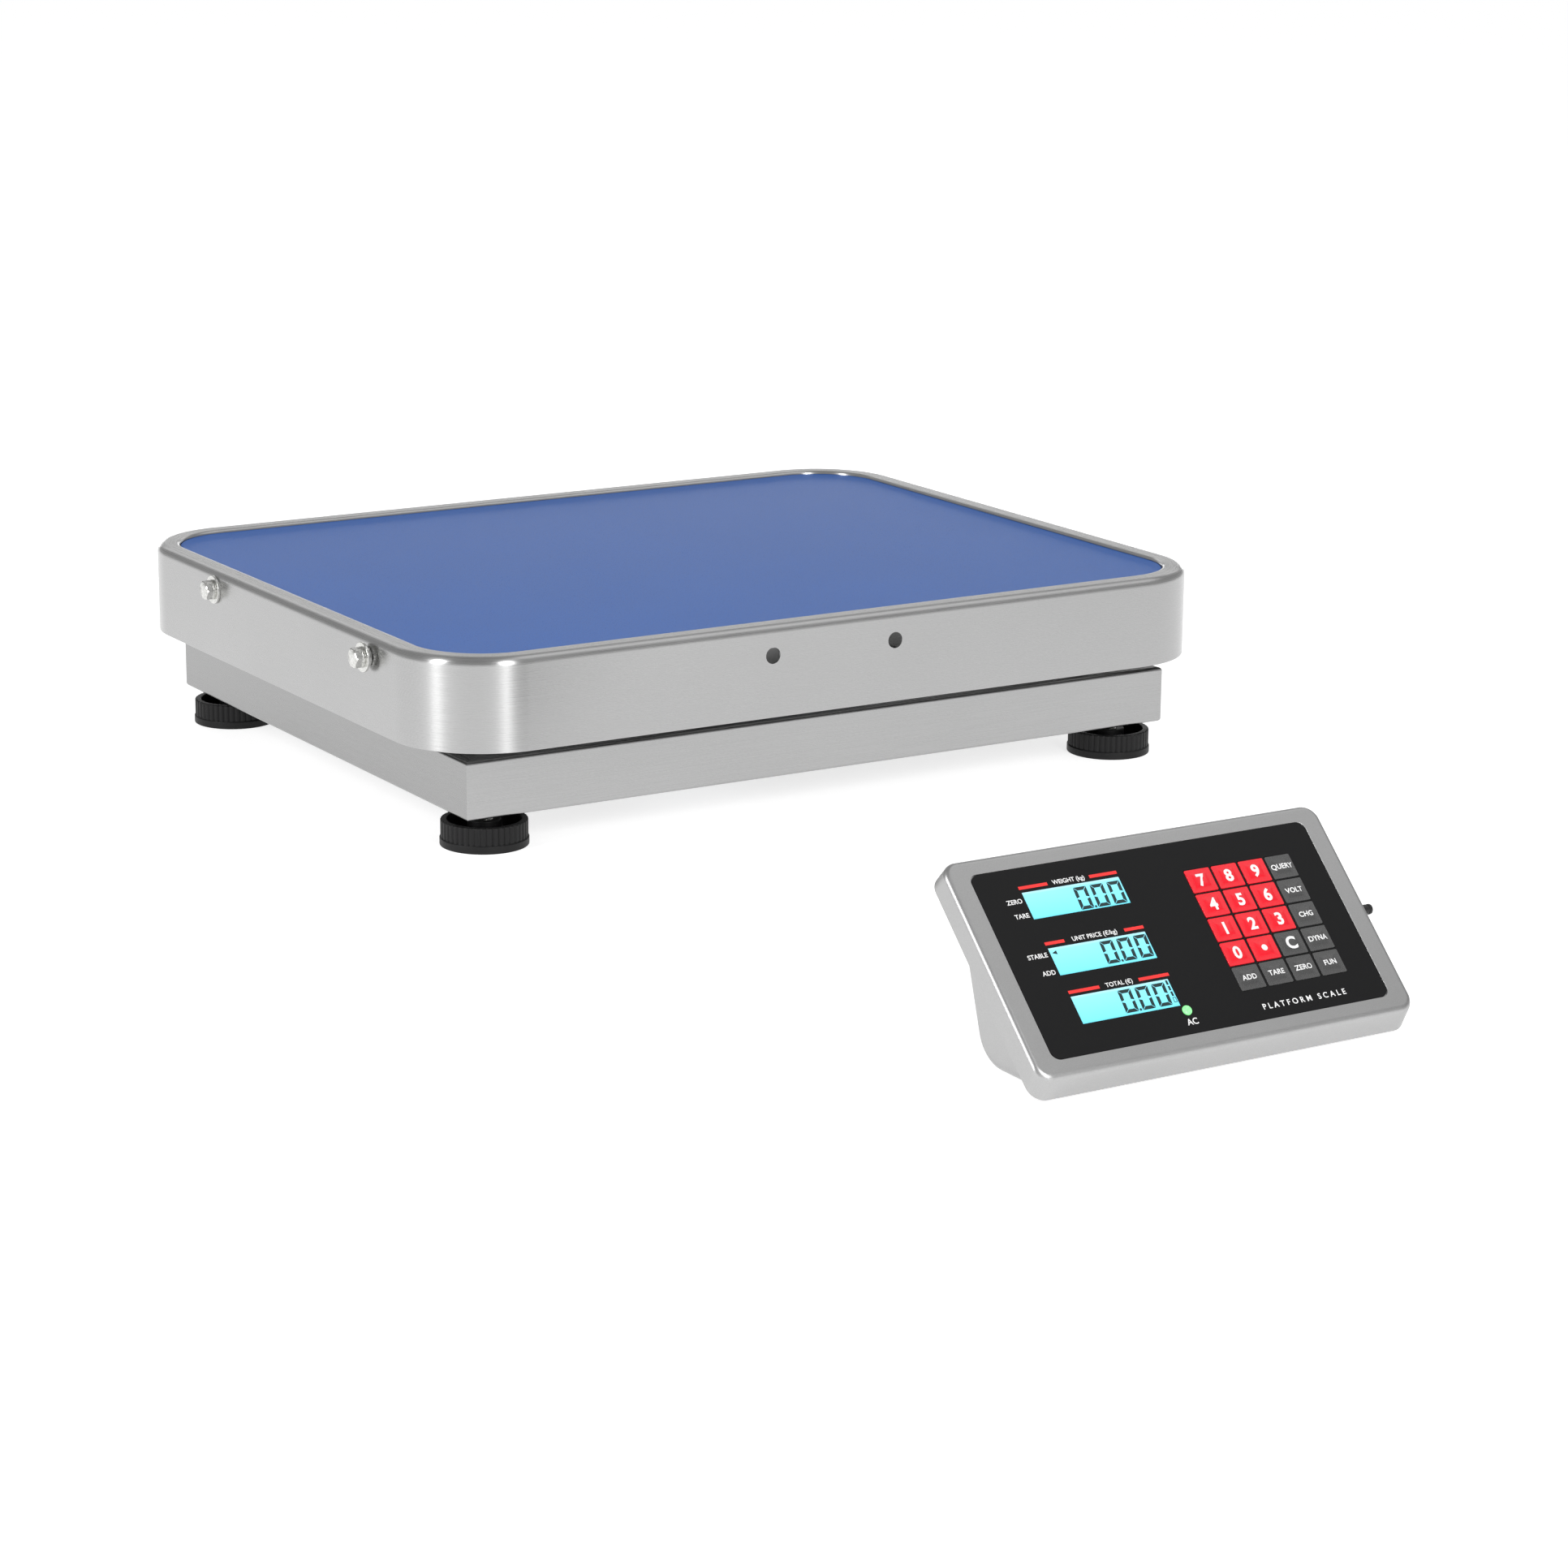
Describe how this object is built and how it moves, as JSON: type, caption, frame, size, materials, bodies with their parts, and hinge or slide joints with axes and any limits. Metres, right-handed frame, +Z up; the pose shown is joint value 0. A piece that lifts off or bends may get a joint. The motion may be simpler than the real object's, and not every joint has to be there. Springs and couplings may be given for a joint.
{
  "type": "pallet scale",
  "caption": "Low stainless weighing platform with a blue mat and levelling feet, and a separate tilted price indicator with displays and a keypad.",
  "frame": {"origin": "on the floor, in the middle of the outline of the platform and the indicator together", "axes": "+Z up; +X along the long side of the platform, to the right of someone reading the indicator; +Y from the indicator to the back of the platform"},
  "size_m": [0.5098, 0.8592, 0.1093],
  "materials": {
    "brushed_stainless": "brushed along the skirt",
    "frame_stainless": "brushed along each tube",
    "satin_stainless": "bead-blasted satin",
    "blue_mat": "fine-grained matt",
    "zinc_steel": "bright zinc plated",
    "grey_steel": "grey powder coat",
    "aluminium": "milled",
    "black_rubber": "matt",
    "overlay_black": "fine-textured film",
    "display_glass": "backlit display glass",
    "green_lamp": "diffused lens",
    "board": "solder resist",
    "dome_steel": "stamped",
    "black_plastic": "moulded",
    "battery_wrap": "shrink wrap",
    "key_red": "embossed film",
    "key_grey": "embossed film"
  },
  "bodies": {
    "base": {"frame_front_tube": "frame_stainless", "frame_right_tube": "frame_stainless", "frame_rear_tube": "frame_stainless", "frame_left_tube": "frame_stainless", "frame_cross_beam": "grey_steel", "foot_inserts": "zinc_steel", "cable_gland": "black_plastic", "load_cell": "aluminium", "load_cell_spacers": "zinc_steel", "load_cell_bolts": "zinc_steel", "carrier_arms": "grey_steel", "carrier_cross_plate": "grey_steel", "overload_stops": "zinc_steel", "pan_rest_pads": "black_rubber"},
    "pan": {"pan": "brushed_stainless", "mat": "blue_mat", "side_bolts": "zinc_steel", "side_washers": "zinc_steel", "side_nuts": "zinc_steel"},
    "indicator": {"bezel": "satin_stainless", "overlay": "overlay_black", "lcd_modules": "display_glass", "status_led": "green_lamp", "main_board": "board", "key_domes": "dome_steel", "rear_housing": "satin_stainless", "rear_sockets": "black_plastic", "housing_screws": "zinc_steel", "housing_feet": "black_rubber", "battery": "battery_wrap", "power_switch": "black_plastic"},
    "foot_1_screw": {"foot_stud_1": "zinc_steel"},
    "foot_1_pad": {"foot_pad_1": "black_rubber"},
    "foot_2_screw": {"foot_stud_2": "zinc_steel"},
    "foot_2_pad": {"foot_pad_2": "black_rubber"},
    "foot_3_screw": {"foot_stud_3": "zinc_steel"},
    "foot_3_pad": {"foot_pad_3": "black_rubber"},
    "foot_4_screw": {"foot_stud_4": "zinc_steel"},
    "foot_4_pad": {"foot_pad_4": "black_rubber"},
    "key_7": {"key_7": "key_red"},
    "key_8": {"key_8": "key_red"},
    "key_9": {"key_9": "key_red"},
    "key_query": {"key_query": "key_grey"},
    "key_4": {"key_4": "key_red"},
    "key_5": {"key_5": "key_red"},
    "key_6": {"key_6": "key_red"},
    "key_volt": {"key_volt": "key_grey"},
    "key_1": {"key_1": "key_red"},
    "key_2": {"key_2": "key_red"},
    "key_3": {"key_3": "key_red"},
    "key_change": {"key_change": "key_grey"},
    "key_0": {"key_0": "key_red"},
    "key_point": {"key_point": "key_red"},
    "key_clear": {"key_clear": "key_grey"},
    "key_dynamic": {"key_dynamic": "key_grey"},
    "key_add": {"key_add": "key_grey"},
    "key_tare": {"key_tare": "key_grey"},
    "key_zero": {"key_zero": "key_grey"},
    "key_function": {"key_function": "key_grey"},
    "power_button": {"power_button": "black_plastic"}
  },
  "joints": [
    {"name": "pan_lift_off", "type": "slide", "parent": "base", "child": "pan", "axis": [0, 0, 1], "range_m": [0, 0.06]},
    {"name": "indicator_lift_off", "type": "slide", "parent": "base", "child": "indicator", "axis": [0, 0, 1], "range_m": [0, 0.06]},
    {"name": "foot_1_lift", "type": "slide", "parent": "base", "child": "foot_1_screw", "axis": [0, 0, 1], "range_m": [-0.012, 0.0045]},
    {"name": "foot_1_turn", "type": "hinge", "parent": "foot_1_screw", "child": "foot_1_pad", "pos_m": [-0.19885, 0.07086, 0.007], "axis": [0, 0, 1], "range_deg": [-2880, 1080]},
    {"name": "foot_2_lift", "type": "slide", "parent": "base", "child": "foot_2_screw", "axis": [0, 0, 1], "range_m": [-0.012, 0.0045]},
    {"name": "foot_2_turn", "type": "hinge", "parent": "foot_2_screw", "child": "foot_2_pad", "pos_m": [0.20855, 0.07086, 0.007], "axis": [0, 0, 1], "range_deg": [-2880, 1080]},
    {"name": "foot_3_lift", "type": "slide", "parent": "base", "child": "foot_3_screw", "axis": [0, 0, 1], "range_m": [-0.012, 0.0045]},
    {"name": "foot_3_turn", "type": "hinge", "parent": "foot_3_screw", "child": "foot_3_pad", "pos_m": [0.20855, 0.38826, 0.007], "axis": [0, 0, 1], "range_deg": [-2880, 1080]},
    {"name": "foot_4_lift", "type": "slide", "parent": "base", "child": "foot_4_screw", "axis": [0, 0, 1], "range_m": [-0.012, 0.0045]},
    {"name": "foot_4_turn", "type": "hinge", "parent": "foot_4_screw", "child": "foot_4_pad", "pos_m": [-0.19885, 0.38826, 0.007], "axis": [0, 0, 1], "range_deg": [-2880, 1080]},
    {"name": "key_7_press", "type": "slide", "parent": "indicator", "child": "key_7", "axis": [0, 0.6959, -0.7181], "range_m": [0, 0.0003], "stiffness_N_per_m": 3000, "springref_m": -0.0004},
    {"name": "key_8_press", "type": "slide", "parent": "indicator", "child": "key_8", "axis": [0, 0.6959, -0.7181], "range_m": [0, 0.0003], "stiffness_N_per_m": 3000, "springref_m": -0.0004},
    {"name": "key_9_press", "type": "slide", "parent": "indicator", "child": "key_9", "axis": [0, 0.6959, -0.7181], "range_m": [0, 0.0003], "stiffness_N_per_m": 3000, "springref_m": -0.0004},
    {"name": "key_query_press", "type": "slide", "parent": "indicator", "child": "key_query", "axis": [0, 0.6959, -0.7181], "range_m": [0, 0.0003], "stiffness_N_per_m": 3000, "springref_m": -0.0004},
    {"name": "key_4_press", "type": "slide", "parent": "indicator", "child": "key_4", "axis": [0, 0.6959, -0.7181], "range_m": [0, 0.0003], "stiffness_N_per_m": 3000, "springref_m": -0.0004},
    {"name": "key_5_press", "type": "slide", "parent": "indicator", "child": "key_5", "axis": [0, 0.6959, -0.7181], "range_m": [0, 0.0003], "stiffness_N_per_m": 3000, "springref_m": -0.0004},
    {"name": "key_6_press", "type": "slide", "parent": "indicator", "child": "key_6", "axis": [0, 0.6959, -0.7181], "range_m": [0, 0.0003], "stiffness_N_per_m": 3000, "springref_m": -0.0004},
    {"name": "key_volt_press", "type": "slide", "parent": "indicator", "child": "key_volt", "axis": [0, 0.6959, -0.7181], "range_m": [0, 0.0003], "stiffness_N_per_m": 3000, "springref_m": -0.0004},
    {"name": "key_1_press", "type": "slide", "parent": "indicator", "child": "key_1", "axis": [0, 0.6959, -0.7181], "range_m": [0, 0.0003], "stiffness_N_per_m": 3000, "springref_m": -0.0004},
    {"name": "key_2_press", "type": "slide", "parent": "indicator", "child": "key_2", "axis": [0, 0.6959, -0.7181], "range_m": [0, 0.0003], "stiffness_N_per_m": 3000, "springref_m": -0.0004},
    {"name": "key_3_press", "type": "slide", "parent": "indicator", "child": "key_3", "axis": [0, 0.6959, -0.7181], "range_m": [0, 0.0003], "stiffness_N_per_m": 3000, "springref_m": -0.0004},
    {"name": "key_change_press", "type": "slide", "parent": "indicator", "child": "key_change", "axis": [0, 0.6959, -0.7181], "range_m": [0, 0.0003], "stiffness_N_per_m": 3000, "springref_m": -0.0004},
    {"name": "key_0_press", "type": "slide", "parent": "indicator", "child": "key_0", "axis": [0, 0.6959, -0.7181], "range_m": [0, 0.0003], "stiffness_N_per_m": 3000, "springref_m": -0.0004},
    {"name": "key_point_press", "type": "slide", "parent": "indicator", "child": "key_point", "axis": [0, 0.6959, -0.7181], "range_m": [0, 0.0003], "stiffness_N_per_m": 3000, "springref_m": -0.0004},
    {"name": "key_clear_press", "type": "slide", "parent": "indicator", "child": "key_clear", "axis": [0, 0.6959, -0.7181], "range_m": [0, 0.0003], "stiffness_N_per_m": 3000, "springref_m": -0.0004},
    {"name": "key_dynamic_press", "type": "slide", "parent": "indicator", "child": "key_dynamic", "axis": [0, 0.6959, -0.7181], "range_m": [0, 0.0003], "stiffness_N_per_m": 3000, "springref_m": -0.0004},
    {"name": "key_add_press", "type": "slide", "parent": "indicator", "child": "key_add", "axis": [0, 0.6959, -0.7181], "range_m": [0, 0.0003], "stiffness_N_per_m": 3000, "springref_m": -0.0004},
    {"name": "key_tare_press", "type": "slide", "parent": "indicator", "child": "key_tare", "axis": [0, 0.6959, -0.7181], "range_m": [0, 0.0003], "stiffness_N_per_m": 3000, "springref_m": -0.0004},
    {"name": "key_zero_press", "type": "slide", "parent": "indicator", "child": "key_zero", "axis": [0, 0.6959, -0.7181], "range_m": [0, 0.0003], "stiffness_N_per_m": 3000, "springref_m": -0.0004},
    {"name": "key_function_press", "type": "slide", "parent": "indicator", "child": "key_function", "axis": [0, 0.6959, -0.7181], "range_m": [0, 0.0003], "stiffness_N_per_m": 3000, "springref_m": -0.0004},
    {"name": "power_button_press", "type": "slide", "parent": "indicator", "child": "power_button", "axis": [-1, 0, 0], "range_m": [0, 0.002], "stiffness_N_per_m": 1200, "springref_m": -0.001}
  ],
  "couplings": [
    {"joint": "foot_1_turn", "follows": "foot_1_lift", "rad_per_m": 4188.8},
    {"joint": "foot_2_turn", "follows": "foot_2_lift", "rad_per_m": 4188.8},
    {"joint": "foot_3_turn", "follows": "foot_3_lift", "rad_per_m": 4188.8},
    {"joint": "foot_4_turn", "follows": "foot_4_lift", "rad_per_m": 4188.8}
  ]
}
